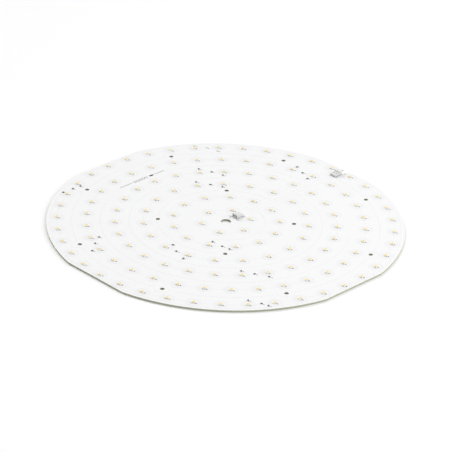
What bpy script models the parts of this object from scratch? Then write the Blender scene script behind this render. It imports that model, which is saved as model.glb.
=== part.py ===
"""A round light-engine board: a white circuit board, six rings of LEDs, chip resistors and two terminals.

Units are metres and Z is up. The board lies with its underside on Z = 0 and its centre at the origin.
The feed wiring runs along +X, from the wire hole in the middle to the notch in the rim, and every ring of
LEDs is open there.
"""
import math

import bmesh
import bpy
from mathutils import Matrix

MM = 0.001

# Circuit board
BOARD_RADIUS = 150.0 * MM
BOARD_FLAT_DEPTH = 3.5 * MM
BOARD_FLAT_DISTANCE = BOARD_RADIUS - BOARD_FLAT_DEPTH
BOARD_FLAT_COUNT = 4
BOARD_THICKNESS = 1.6 * MM
WIRE_HOLE_DIAMETER = 8.5 * MM
SCREW_HOLE_DIAMETER = 3.7 * MM
INNER_SCREW_COUNT = 4
OUTER_SCREW_COUNT = 8
NOTCH_WIDTH = 5.5 * MM
NOTCH_DEPTH = 2.2 * MM
NOTCH_CORNER_RADIUS = 0.6 * MM

# Rings of LEDs, counted from the middle: evenly spaced, and the last one lies a margin in from the rim
LEDS_IN_RING = (6, 13, 19, 27, 34, 41)
FIRST_RING_RADIUS = 21.0 * MM
LAST_RING_MARGIN = 9.0 * MM
RING_PITCH = (BOARD_RADIUS - LAST_RING_MARGIN - FIRST_RING_RADIUS) / (len(LEDS_IN_RING) - 1)

# Screw circles lie midway between two rings: this many pitches out from the first ring
INNER_SCREW_RING_SHARE = 1.5
OUTER_SCREW_RING_SHARE = 4.5

# Printed track of a ring, which widens to a solder land under each LED
TRACK_WIDTH = 0.6 * MM
TRACK_HEIGHT = 0.1 * MM
TRACK_FACET_ANGLE = math.radians(11.0)
LAND_MARGIN_LENGTH = 0.45 * MM
LAND_MARGIN_WIDTH = 0.15 * MM

# LED package
LED_LENGTH = 3.5 * MM
LED_WIDTH = 2.8 * MM
LED_HEIGHT = 0.7 * MM
LED_RIM = 0.38 * MM
LED_CUP_SLOPE = 0.1 * MM
LED_CUP_DEPTH = 0.12 * MM
LED_SINK_SHARE = 0.5

# Chip resistor
CHIP_LENGTH = 2.0 * MM
CHIP_WIDTH = 1.25 * MM
CHIP_HEIGHT = 0.5 * MM
CHIP_CAP_LENGTH = 0.35 * MM
CHIP_CAP_RISE = 0.04 * MM

# Chip groups: ring number, number of the LED that the group starts at, and then the inner and the outer
# chip, each as its distance from the ring, a share of the ring pitch, and its place, a share of the way
# from this LED to the next one.
CHIP_GROUP_SHARES = (
    (2, 7, -0.27, 0.05, 0.17, 0.77),
    (3, 2, -0.22, 0.05, 0.28, 0.95),
    (3, 9, -0.28, 0.06, 0.29, 0.97),
    (4, 3, -0.29, 0.05, 0.27, 0.95),
    (4, 17, -0.28, 0.04, 0.29, 0.95),
    (5, 0, -0.29, 0.04, 0.27, 0.95),
    (5, 14, -0.28, 0.05, 0.29, 0.99),
    (6, 5, -0.29, 0.05, 0.17, 0.95),
    (6, 12, -0.17, 0.15, 0.18, 0.94),
    (6, 26, -0.27, 0.05, 0.16, 0.72),
)
CHIP_MIDDLE_SHARE = -0.02
CHIP_MIDDLE_PLACE_SHARE = 0.5

# Push-in wire terminal: a tall entry block at the wire side, and a rear part whose top slopes down
TERMINAL_LENGTH = 8.6 * MM
TERMINAL_WIDTH = 5.9 * MM
TERMINAL_HEIGHT = 3.2 * MM
SLOPE_START_HEIGHT = 2.55 * MM
SLOPE_END_HEIGHT = 1.65 * MM
TERMINAL_REAR_CHAMFER = 0.4 * MM
TERMINAL_EDGE_RADIUS = 0.12 * MM
ENTRY_BLOCK_LENGTH = 2.8 * MM
ENTRY_BLOCK_RAKE = 0.2 * MM
POLE_PITCH = 3.1 * MM
ENTRY_MOUTH_DIAMETER = 2.0 * MM
ENTRY_BORE_DIAMETER = 1.3 * MM
ENTRY_FUNNEL_DEPTH = 0.7 * MM
ENTRY_HEIGHT = 1.85 * MM
FRONT_WALL = 0.8 * MM
REAR_WALL = 1.2 * MM
CHAMBER_HEIGHT = 1.35 * MM
RELEASE_SLOT_LENGTH = 0.9 * MM
RELEASE_SLOT_WIDTH = 0.9 * MM
RELEASE_SLOT_SETBACK = 5.4 * MM
REAR_ARCH_DIAMETER = 1.7 * MM
REAR_ARCH_DEPTH = 0.7 * MM
FRONT_NOTCH_WIDTH = 1.1 * MM
FRONT_NOTCH_HEIGHT = 0.5 * MM
FRONT_NOTCH_DEPTH = 0.6 * MM
SIDE_RECESS_COUNT = 3
SIDE_RECESS_LENGTH = 1.3 * MM
SIDE_RECESS_DEPTH = 0.25 * MM
SIDE_RECESS_HEIGHT = 0.7 * MM

# Terminal contact: a folded strip with a spring leaf, and a flat solder tail that splays to its land
CONTACT_WIDTH = 1.4 * MM
CONTACT_THICKNESS = 0.2 * MM
CONTACT_CLEARANCE = 0.12 * MM
CONTACT_RISE = 1.15 * MM
LEAF_INSET = 0.1 * MM
LEAF_LENGTH = 3.6 * MM
LEAF_TIP_HEIGHT = 0.4 * MM
LEAF_ROOT_DEPTH = 0.4 * MM
TAIL_WIDTH = 0.45 * MM
TAIL_SETOUT = 0.85 * MM
TAIL_PAD_LENGTH = 2.2 * MM
TAIL_PAD_WIDTH = 1.8 * MM
TAIL_PAD_OFFSET = 4.75 * MM

# Places of the terminals on the board
CENTRE_TERMINAL_DISTANCE = 10.3 * MM
RIM_TERMINAL_SETBACK = 5.8 * MM

# Modelling values
CUT_OVERRUN = 1.0 * MM
RIM_FACETS = 128
WIRE_HOLE_FACETS = 32
SCREW_HOLE_FACETS = 18
ENTRY_FACETS = 16
CORNER_FACETS = 3
EDGE_FACETS = 1
BEVEL_ANGLE = math.radians(50.0)
MERGE_DISTANCE = 0.0005 * MM
FLAT_ANGLE = math.radians(0.5)


def clear_scene():
    """Removes every object that the file opened with."""
    for thing in list(bpy.data.objects):
        bpy.data.objects.remove(thing, do_unlink=True)


def new_collection(name):
    """Adds a collection to the scene and returns it."""
    collection = bpy.data.collections.new(name)
    bpy.context.scene.collection.children.link(collection)
    return collection


def new_material(name, colour, roughness, metallic=0.0):
    """Makes a plain Principled BSDF material."""
    material = bpy.data.materials.new(name)
    material.use_nodes = True
    shader = material.node_tree.nodes["Principled BSDF"]
    shader.inputs["Base Color"].default_value = (*colour, 1.0)
    shader.inputs["Roughness"].default_value = roughness
    shader.inputs["Metallic"].default_value = metallic
    material.diffuse_color = (*colour, 1.0)
    return material


clear_scene()
PARTS = new_collection("led_module")
CUTTERS = new_collection("cutters")
WHITE_MASK = new_material("white_mask", (0.90, 0.91, 0.90), 0.45)
LED_HOUSING = new_material("led_housing", (0.92, 0.88, 0.72), 0.5)
CHIP_BLACK = new_material("chip_black", (0.03, 0.03, 0.035), 0.4)
TERMINAL_PLASTIC = new_material("terminal_plastic", (0.85, 0.85, 0.84), 0.5)
TINNED_COPPER = new_material("tinned_copper", (0.75, 0.75, 0.76), 0.3, 1.0)


def add_part(name, mesh, material):
    """Adds a finished piece to the module's collection, with its material."""
    mesh.materials.clear()
    mesh.materials.append(material)
    part = bpy.data.objects.new(name, mesh)
    PARTS.objects.link(part)
    return part


def add_cutter(name, mesh):
    """Adds a tool body that only shapes other pieces, and hides it from renders."""
    cutter = bpy.data.objects.new(name, mesh)
    CUTTERS.objects.link(cutter)
    cutter.hide_render = True
    cutter.display_type = "WIRE"
    return cutter


def combine(target, tool, operation):
    """Puts an exact boolean on a piece."""
    modifier = target.modifiers.new(tool.name, "BOOLEAN")
    modifier.operation = operation
    modifier.solver = "EXACT"
    modifier.object = tool
    return modifier


def add_box(bm, low, high):
    """Adds a box between two corners to a bmesh."""
    size = [high[i] - low[i] for i in range(3)]
    centre = [(high[i] + low[i]) / 2 for i in range(3)]
    matrix = Matrix.Translation(centre) @ Matrix.Diagonal((*size, 1.0))
    return bmesh.ops.create_cube(bm, size=1.0, matrix=matrix)["verts"]


def add_round(bm, start_diameter, end_diameter, length, matrix, facets):
    """Adds a cylinder or a cone to a bmesh, along the matrix's Z, from its origin."""
    place = matrix @ Matrix.Translation((0, 0, length / 2))
    return bmesh.ops.create_cone(
        bm, cap_ends=True, segments=facets, radius1=start_diameter / 2, radius2=end_diameter / 2,
        depth=length, matrix=place)["verts"]


def to_mesh(bm, name):
    """Turns a bmesh into a mesh and frees it."""
    mesh = bpy.data.meshes.new(name)
    bm.to_mesh(mesh)
    bm.free()
    return mesh


def outline_mesh(name, points, low, high):
    """Makes a flat plate with the given outline, between two heights, from a filled 2D curve."""
    curve = bpy.data.curves.new(name, "CURVE")
    curve.dimensions = "2D"
    curve.fill_mode = "BOTH"
    curve.extrude = (high - low) / 2
    spline = curve.splines.new("POLY")
    spline.points.add(len(points) - 1)
    for point, (x, y) in zip(spline.points, points):
        point.co = (x, y, 0, 1)
    spline.use_cyclic_u = True
    holder = bpy.data.objects.new(name, curve)
    CUTTERS.objects.link(holder)
    bpy.context.view_layer.update()
    graph = bpy.context.evaluated_depsgraph_get()
    mesh = bpy.data.meshes.new_from_object(holder.evaluated_get(graph))
    bpy.data.objects.remove(holder, do_unlink=True)
    bpy.data.curves.remove(curve)
    bm = bmesh.new()
    bm.from_mesh(mesh)
    bpy.data.meshes.remove(mesh)
    bmesh.ops.remove_doubles(bm, verts=bm.verts, dist=MERGE_DISTANCE)
    bmesh.ops.dissolve_limit(bm, angle_limit=FLAT_ANGLE, verts=bm.verts, edges=bm.edges)
    bmesh.ops.recalc_face_normals(bm, faces=bm.faces)
    middle = Matrix.Translation((0, 0, (high + low) / 2))
    bmesh.ops.transform(bm, matrix=middle, verts=bm.verts)
    return to_mesh(bm, name)


def polar(radius, angle):
    """The point at a radius and an angle from +X."""
    return (radius * math.cos(angle), radius * math.sin(angle))


def ring_radius(number):
    """The radius of a ring, the first one being number 1."""
    return FIRST_RING_RADIUS + (number - 1) * RING_PITCH


def led_angle(number, place):
    """The angle of a place along a ring, counted in LEDs from its open side."""
    return 2 * math.pi * (place + 0.5) / LEDS_IN_RING[number - 1]


def screw_places():
    """The centres of the screw holes: four midway between rings, eight on the outer circle."""
    inner = FIRST_RING_RADIUS + INNER_SCREW_RING_SHARE * RING_PITCH
    outer = FIRST_RING_RADIUS + OUTER_SCREW_RING_SHARE * RING_PITCH
    places = []
    for radius, count in ((inner, INNER_SCREW_COUNT), (outer, OUTER_SCREW_COUNT)):
        for index in range(count):
            places.append(polar(radius, 2 * math.pi * (index + 0.5) / count))
    return places


def flats_cutter():
    """Four blocks outside the rim that leave its flats, at the ends of the X and Y axes."""
    bm = bmesh.new()
    reach = BOARD_RADIUS + CUT_OVERRUN
    for index in range(BOARD_FLAT_COUNT):
        half_width = math.sqrt(reach ** 2 - BOARD_FLAT_DISTANCE ** 2)
        low = (BOARD_FLAT_DISTANCE, -half_width, -CUT_OVERRUN)
        high = (reach, half_width, BOARD_THICKNESS + CUT_OVERRUN)
        block = add_box(bm, low, high)
        turn = Matrix.Rotation(2 * math.pi * index / BOARD_FLAT_COUNT, 4, "Z")
        bmesh.ops.transform(bm, matrix=turn, verts=block)
    return add_cutter("flats_cutter", to_mesh(bm, "flats_cutter"))


def holes_cutter():
    """The wire hole and the twelve screw holes."""
    bm = bmesh.new()
    depth = BOARD_THICKNESS + 2 * CUT_OVERRUN
    start = Matrix.Translation((0, 0, -CUT_OVERRUN))
    add_round(bm, WIRE_HOLE_DIAMETER, WIRE_HOLE_DIAMETER, depth, start, WIRE_HOLE_FACETS)
    for x, y in screw_places():
        place = Matrix.Translation((x, y, -CUT_OVERRUN))
        add_round(bm, SCREW_HOLE_DIAMETER, SCREW_HOLE_DIAMETER, depth, place, SCREW_HOLE_FACETS)
    return add_cutter("holes_cutter", to_mesh(bm, "holes_cutter"))


def notch_cutter():
    """The routed slot for the wires in the rim's +X flat, with round inner corners."""
    bm = bmesh.new()
    low = (BOARD_FLAT_DISTANCE - NOTCH_DEPTH, -NOTCH_WIDTH / 2, -CUT_OVERRUN)
    high = (BOARD_FLAT_DISTANCE + CUT_OVERRUN, NOTCH_WIDTH / 2, BOARD_THICKNESS + CUT_OVERRUN)
    add_box(bm, low, high)
    corners = []
    for edge in bm.edges:
        first, second = (vert.co for vert in edge.verts)
        upright = abs(first.z - second.z) > BOARD_THICKNESS
        if upright and first.x < BOARD_FLAT_DISTANCE:
            corners.append(edge)
    bmesh.ops.bevel(bm, geom=corners, offset=NOTCH_CORNER_RADIUS, segments=CORNER_FACETS, affect="EDGES")
    return add_cutter("notch_cutter", to_mesh(bm, "notch_cutter"))


def circuit_board():
    """The board: a disc with four flats, the wire notch and all its holes."""
    bm = bmesh.new()
    diameter = 2 * BOARD_RADIUS
    add_round(bm, diameter, diameter, BOARD_THICKNESS, Matrix.Identity(4), RIM_FACETS)
    board = add_part("circuit_board", to_mesh(bm, "circuit_board"), WHITE_MASK)
    for cutter in (flats_cutter(), notch_cutter(), holes_cutter()):
        combine(board, cutter, "DIFFERENCE")
    return board


def track_outline(number):
    """One side of a ring's track and then the other: an open ring that widens at each LED's land."""
    radius = ring_radius(number)
    half_land = math.asin((LED_LENGTH / 2 + LAND_MARGIN_LENGTH) / radius)
    land_half_width = LED_WIDTH / 2 + LAND_MARGIN_WIDTH
    span = []
    for place in range(LEDS_IN_RING[number - 1]):
        middle = led_angle(number, place)
        if place > 0:
            start = led_angle(number, place - 1) + half_land
            gap = middle - half_land - start
            steps = max(1, math.ceil(gap / TRACK_FACET_ANGLE))
            span += [(TRACK_WIDTH / 2, start + gap * step / steps) for step in range(steps + 1)]
        span += [(land_half_width, middle - half_land), (land_half_width, middle + half_land)]
    outer = [polar(radius + side, angle) for side, angle in span]
    inner = [polar(radius - side, angle) for side, angle in reversed(span)]
    return outer + inner


def add_led(bm, matrix):
    """Adds one LED package, its length along local X: a block with a shallow cup in its top."""
    verts = add_box(bm, (-LED_LENGTH / 2, -LED_WIDTH / 2, 0), (LED_LENGTH / 2, LED_WIDTH / 2, LED_HEIGHT))
    faces = {face for vert in verts for face in vert.link_faces}
    top = max(faces, key=lambda face: face.calc_center_median().z)
    rim = bmesh.ops.inset_individual(bm, faces=[top], thickness=LED_RIM)
    cup = bmesh.ops.inset_individual(bm, faces=[top], thickness=LED_CUP_SLOPE, depth=-LED_CUP_DEPTH)
    verts = set(verts) | {vert for face in rim["faces"] + cup["faces"] for vert in face.verts}
    bmesh.ops.transform(bm, matrix=matrix, verts=list(verts))


def led_ring(number):
    """A ring's printed track with its LED packages soldered on."""
    name = f"led_ring_{number}"
    top = BOARD_THICKNESS + TRACK_HEIGHT
    track = outline_mesh(name, track_outline(number), BOARD_THICKNESS, top)
    ring = add_part(name, track, LED_HOUSING)
    seat = BOARD_THICKNESS + LED_SINK_SHARE * TRACK_HEIGHT
    bm = bmesh.new()
    for place in range(LEDS_IN_RING[number - 1]):
        turn = Matrix.Rotation(led_angle(number, place), 4, "Z")
        along = Matrix.Rotation(math.pi / 2, 4, "Z")
        add_led(bm, turn @ Matrix.Translation((ring_radius(number), 0, seat)) @ along)
    leds = add_cutter(f"leds_of_ring_{number}", to_mesh(bm, f"leds_of_ring_{number}"))
    combine(ring, leds, "UNION")
    return ring


def chip_mesh():
    """A chip resistor, its length along local X: a body between two end caps that stand a little proud."""
    half = CHIP_LENGTH / 2
    shoulder = half - CHIP_CAP_LENGTH
    body_top = CHIP_HEIGHT - CHIP_CAP_RISE
    profile = (
        (-half, 0), (half, 0), (half, CHIP_HEIGHT), (shoulder, CHIP_HEIGHT), (shoulder, body_top),
        (-shoulder, body_top), (-shoulder, CHIP_HEIGHT), (-half, CHIP_HEIGHT))
    mesh = outline_mesh("chip_resistor", profile, -CHIP_WIDTH / 2, CHIP_WIDTH / 2)
    mesh.transform(Matrix.Rotation(math.pi / 2, 4, "X"))
    return mesh


def chip_resistors():
    """Ten groups of three chips: one inside the ring, one on its track and one outside it."""
    mesh = chip_mesh()
    index = 0
    for number, first, inner_share, inner_place_share, outer_share, outer_place_share in CHIP_GROUP_SHARES:
        radius = ring_radius(number)
        chips = (
            (inner_share, inner_place_share, 0.0, 0.0),
            (CHIP_MIDDLE_SHARE, CHIP_MIDDLE_PLACE_SHARE, TRACK_HEIGHT, math.pi / 2),
            (outer_share, outer_place_share, 0.0, 0.0))
        for share, place_share, rise, turn in chips:
            index += 1
            angle = led_angle(number, first + place_share)
            chip = add_part(f"chip_resistor_{index:02d}", mesh, CHIP_BLACK)
            x, y = polar(radius + share * RING_PITCH, angle)
            chip.location = (x, y, BOARD_THICKNESS + rise)
            chip.rotation_euler = (0, 0, angle + turn)


def pole_places():
    """The middle of each pole across a terminal, with the sign of its side."""
    return ((-POLE_PITCH / 2, -1), (POLE_PITCH / 2, 1))


def housing_profile():
    """A terminal seen from its side: the tall entry block, the sloped top behind it and the cut end."""
    return (
        (0, 0), (TERMINAL_LENGTH, 0), (TERMINAL_LENGTH, SLOPE_END_HEIGHT - TERMINAL_REAR_CHAMFER),
        (TERMINAL_LENGTH - TERMINAL_REAR_CHAMFER, SLOPE_END_HEIGHT),
        (ENTRY_BLOCK_LENGTH + ENTRY_BLOCK_RAKE, SLOPE_START_HEIGHT),
        (ENTRY_BLOCK_LENGTH, TERMINAL_HEIGHT), (0, TERMINAL_HEIGHT))


def chamber_boxes(bm):
    """The chamber of each pole, open below, that holds its contact."""
    half = CONTACT_WIDTH / 2 + CONTACT_CLEARANCE
    end = TERMINAL_LENGTH - REAR_WALL
    for middle, _ in pole_places():
        add_box(bm, (FRONT_WALL, middle - half, -CUT_OVERRUN), (end, middle + half, CHAMBER_HEIGHT))


def channel_boxes(bm):
    """The low channel under the front wall that each solder tail leaves through."""
    inner = POLE_PITCH / 2 + CONTACT_WIDTH / 2 - TAIL_WIDTH - CONTACT_CLEARANCE
    outer = POLE_PITCH / 2 + CONTACT_WIDTH / 2 + CONTACT_CLEARANCE
    top = CONTACT_THICKNESS + CONTACT_CLEARANCE
    for _, side in pole_places():
        across = sorted((side * inner, side * outer))
        low = (-CUT_OVERRUN, across[0], -CUT_OVERRUN)
        add_box(bm, low, (FRONT_WALL + CONTACT_CLEARANCE, across[1], top))


def entry_funnels(bm):
    """The cone that leads a wire in, from just outside the front face."""
    slope = (ENTRY_MOUTH_DIAMETER - ENTRY_BORE_DIAMETER) / ENTRY_FUNNEL_DEPTH
    start = ENTRY_MOUTH_DIAMETER + slope * CONTACT_CLEARANCE
    length = ENTRY_FUNNEL_DEPTH + CONTACT_CLEARANCE
    for middle, _ in pole_places():
        place = Matrix.Translation((-CONTACT_CLEARANCE, middle, ENTRY_HEIGHT))
        inwards = place @ Matrix.Rotation(math.pi / 2, 4, "Y")
        add_round(bm, start, ENTRY_BORE_DIAMETER, length, inwards, ENTRY_FACETS)


def entry_bores(bm):
    """The round way in behind each funnel, through the entry block."""
    for middle, _ in pole_places():
        place = Matrix.Translation((0, middle, ENTRY_HEIGHT)) @ Matrix.Rotation(math.pi / 2, 4, "Y")
        add_round(bm, ENTRY_BORE_DIAMETER, ENTRY_BORE_DIAMETER, ENTRY_BLOCK_LENGTH, place, ENTRY_FACETS)


def release_slots(bm):
    """The slot over each spring leaf, for the tool that frees a wire."""
    for middle, _ in pole_places():
        low = (RELEASE_SLOT_SETBACK - RELEASE_SLOT_LENGTH / 2, middle - RELEASE_SLOT_WIDTH / 2, CONTACT_RISE)
        high = (low[0] + RELEASE_SLOT_LENGTH, middle + RELEASE_SLOT_WIDTH / 2, TERMINAL_HEIGHT + CUT_OVERRUN)
        add_box(bm, low, high)


def rear_arches(bm):
    """The two round-topped recesses at the foot of the rear face."""
    length = REAR_ARCH_DEPTH + CUT_OVERRUN
    for middle, _ in pole_places():
        place = Matrix.Translation((TERMINAL_LENGTH - REAR_ARCH_DEPTH, middle, 0))
        outwards = place @ Matrix.Rotation(math.pi / 2, 4, "Y")
        add_round(bm, REAR_ARCH_DIAMETER, REAR_ARCH_DIAMETER, length, outwards, ENTRY_FACETS)


def front_notch(bm):
    """The notch between the poles at the foot of the front face."""
    low = (-CUT_OVERRUN, -FRONT_NOTCH_WIDTH / 2, -CUT_OVERRUN)
    add_box(bm, low, (FRONT_NOTCH_DEPTH, FRONT_NOTCH_WIDTH / 2, FRONT_NOTCH_HEIGHT))


def side_recesses(bm):
    """A row of small recesses along the foot of each side."""
    pitch = TERMINAL_LENGTH / SIDE_RECESS_COUNT
    for index in range(SIDE_RECESS_COUNT):
        start = (index + 0.5) * pitch - SIDE_RECESS_LENGTH / 2
        for _, side in pole_places():
            inner = side * (TERMINAL_WIDTH / 2 - SIDE_RECESS_DEPTH)
            across = sorted((inner, inner + side * CUT_OVERRUN))
            high = (start + SIDE_RECESS_LENGTH, across[1], SIDE_RECESS_HEIGHT)
            add_box(bm, (start, across[0], -CUT_OVERRUN), high)


def terminal_housing_mesh(name):
    """A terminal's housing in its own frame: wires enter at X = 0 along +X, and Z = 0 is its foot."""
    mesh = outline_mesh(name, housing_profile(), -TERMINAL_WIDTH / 2, TERMINAL_WIDTH / 2)
    mesh.transform(Matrix.Rotation(math.pi / 2, 4, "X"))
    block = bpy.data.objects.new(name, mesh)
    CUTTERS.objects.link(block)
    bevel = block.modifiers.new("edges", "BEVEL")
    bevel.width = TERMINAL_EDGE_RADIUS
    bevel.segments = EDGE_FACETS
    bevel.angle_limit = BEVEL_ANGLE
    features = (
        chamber_boxes, channel_boxes, entry_funnels, entry_bores, release_slots, rear_arches, front_notch,
        side_recesses)
    cutters = []
    for feature in features:
        bm = bmesh.new()
        feature(bm)
        cutter = add_cutter(feature.__name__, to_mesh(bm, feature.__name__))
        combine(block, cutter, "DIFFERENCE")
        cutters.append(cutter)
    return finished_mesh(block, cutters)


def finished_mesh(block, tools):
    """The mesh of a block with its modifiers applied. The block and its tools are removed."""
    bpy.context.view_layer.update()
    graph = bpy.context.evaluated_depsgraph_get()
    mesh = bpy.data.meshes.new_from_object(block.evaluated_get(graph))
    for thing in (block, *tools):
        bpy.data.objects.remove(thing, do_unlink=True)
    return mesh


def foot_outline(side):
    """A contact's foot from above, with the solder tail that splays out to its pad."""
    inner = POLE_PITCH / 2 - CONTACT_WIDTH / 2
    outer = POLE_PITCH / 2 + CONTACT_WIDTH / 2
    start = FRONT_WALL + CONTACT_CLEARANCE
    pad_inner = TAIL_PAD_OFFSET - TAIL_PAD_LENGTH / 2
    pad_outer = TAIL_PAD_OFFSET + TAIL_PAD_LENGTH / 2
    pad_rear = -TAIL_SETOUT
    pad_front = -TAIL_SETOUT - TAIL_PAD_WIDTH
    points = (
        (contact_end(), inner), (contact_end(), outer), (0, outer), (pad_rear, pad_inner + TAIL_WIDTH),
        (pad_rear, pad_outer), (pad_front, pad_outer), (pad_front, pad_inner),
        (pad_rear - TAIL_WIDTH, pad_inner), (-TAIL_WIDTH / 2, outer - TAIL_WIDTH),
        (start, outer - TAIL_WIDTH), (start, inner))
    return [(x, side * y) for x, y in points]


def contact_end():
    """How far behind the entry face a contact ends."""
    return TERMINAL_LENGTH - REAR_WALL - CONTACT_CLEARANCE


def leaf_profile():
    """A contact's spring seen from its side: the rear upright and the leaf that slants forward from it."""
    rear = contact_end() - LEAF_INSET
    front = rear - CONTACT_THICKNESS
    tip = rear - LEAF_LENGTH
    foot = CONTACT_THICKNESS / 2
    return (
        (rear, foot), (rear, CONTACT_RISE), (front, CONTACT_RISE),
        (tip, LEAF_TIP_HEIGHT + CONTACT_THICKNESS), (tip, LEAF_TIP_HEIGHT),
        (front, CONTACT_RISE - LEAF_ROOT_DEPTH), (front, foot))


def contact_mesh(name, middle, side):
    """A terminal's contact in the terminal's own frame: the foot and tail with the folded spring on them."""
    foot = bpy.data.objects.new(name, outline_mesh(name, foot_outline(side), 0, CONTACT_THICKNESS))
    CUTTERS.objects.link(foot)
    half_leaf = CONTACT_WIDTH / 2 - LEAF_INSET
    leaf_mesh = outline_mesh("spring_leaf", leaf_profile(), -half_leaf, half_leaf)
    leaf_mesh.transform(Matrix.Translation((0, middle, 0)) @ Matrix.Rotation(math.pi / 2, 4, "X"))
    leaf = add_cutter("spring_leaf", leaf_mesh)
    combine(foot, leaf, "UNION")
    return finished_mesh(foot, [leaf])


def wire_terminals():
    """Two terminals: one faces the wire hole and one, turned round, faces the notch."""
    housing = terminal_housing_mesh("terminal_housing")
    contacts = []
    for middle, side in pole_places():
        contacts.append(contact_mesh("terminal_contact", middle, side))
    rim_distance = BOARD_FLAT_DISTANCE - NOTCH_DEPTH - RIM_TERMINAL_SETBACK
    for place, distance, turn in (("centre", CENTRE_TERMINAL_DISTANCE, 0.0), ("rim", rim_distance, math.pi)):
        pieces = [add_part(f"{place}_terminal_housing", housing, TERMINAL_PLASTIC)]
        for index, mesh in enumerate(contacts):
            pieces.append(add_part(f"{place}_terminal_contact_{index + 1}", mesh, TINNED_COPPER))
        for piece in pieces:
            piece.location = (distance, 0, BOARD_THICKNESS)
            piece.rotation_euler = (0, 0, turn)


circuit_board()
for ring_number in range(1, len(LEDS_IN_RING) + 1):
    led_ring(ring_number)
chip_resistors()
wire_terminals()
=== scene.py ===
"""The looks of a round LED board: a white disc with rings of LEDs, chip resistors and terminals."""
import math

import bpy
import numpy as np
from mathutils import Matrix, Vector


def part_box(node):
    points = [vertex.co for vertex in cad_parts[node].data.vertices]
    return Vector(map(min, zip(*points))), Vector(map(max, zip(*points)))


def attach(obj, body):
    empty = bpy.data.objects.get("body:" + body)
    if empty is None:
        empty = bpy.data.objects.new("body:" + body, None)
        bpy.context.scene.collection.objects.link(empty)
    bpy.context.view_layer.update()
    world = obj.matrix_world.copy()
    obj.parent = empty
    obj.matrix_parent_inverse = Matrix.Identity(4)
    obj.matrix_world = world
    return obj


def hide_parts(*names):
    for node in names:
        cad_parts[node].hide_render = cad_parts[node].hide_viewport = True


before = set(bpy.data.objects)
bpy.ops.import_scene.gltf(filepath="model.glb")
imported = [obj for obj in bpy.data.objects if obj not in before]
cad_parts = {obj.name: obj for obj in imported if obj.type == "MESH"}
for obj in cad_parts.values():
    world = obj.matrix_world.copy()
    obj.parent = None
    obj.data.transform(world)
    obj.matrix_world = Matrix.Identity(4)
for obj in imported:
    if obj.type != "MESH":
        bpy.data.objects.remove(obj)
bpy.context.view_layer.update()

# Circuit board. One routed disc of 1.6 mm glass-epoxy laminate, with a white solder mask baked on
# both faces. The cutters leave the laminate bare, a greyish olive on the rim and in the holes;
# painted shade darkens it inside the holes, and a darker painted shade in the narrow wire notch.
MM = 0.001
BOARD_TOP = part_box("circuit_board")[1].z
MASK_WHITE = "#ECECEC"
MASK_SHADE = "#E9E9EA"
MASK_ROUGHNESS = 0.48
MASK_MOTTLE = 45 * MM
MASK_RIPPLE = 0.9 * MM
MASK_RIPPLE_DEPTH = 0.002 * MM
LAMINATE_OLIVE = "#A0A18C"
LAMINATE_PALE = "#C2C4AE"
LAMINATE_ROUGHNESS = 0.8
# Painted shade multiplied into the bare laminate inside the holes, and a darker one in the wire
# notch.
HOLE_PAINTED_SHADE = "#E4E4E0"
NOTCH_PAINTED_SHADE = "#A6A688"
NOTCH_FROM = 140 * MM
FLAT_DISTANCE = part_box("circuit_board")[1].x
CUT_INSIDE = FLAT_DISTANCE - 0.05 * MM
GLASS_YARN = 0.8 * MM
PLY_THICKNESS = 0.35 * MM
FINE_DETAIL = 3.0
LEVEL_FACE = 0.5


def linear(code):
    """sRGB hex to linear: a channel c is c / 12.92 up to 0.04045, and above that it is
    ((c + 0.055) / 1.055) ^ 2.4."""
    srgb = np.array([int(code[at:at + 2], 16) for at in (1, 3, 5)]) / 255
    return (*np.where(srgb <= 0.04045, srgb / 12.92, ((srgb + 0.055) / 1.055) ** 2.4), 1.0)


def add_node(tree, kind, inputs=(), **settings):
    """Adds a node: settings are its properties, each input is a value or the socket feeding it."""
    node = tree.nodes.new(kind)
    for name, value in settings.items():
        setattr(node, name, value)
    for name, value in dict(inputs).items():
        if isinstance(value, bpy.types.NodeSocket):
            tree.links.new(value, node.inputs[name])
        else:
            node.inputs[name].default_value = value
    return node


def new_finish(name):
    """A material with only its shader node. Returns the material, its nodes and the shader."""
    finish = bpy.data.materials.new(name)
    finish.use_nodes = True
    return finish, finish.node_tree, finish.node_tree.nodes["Principled BSDF"]


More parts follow.
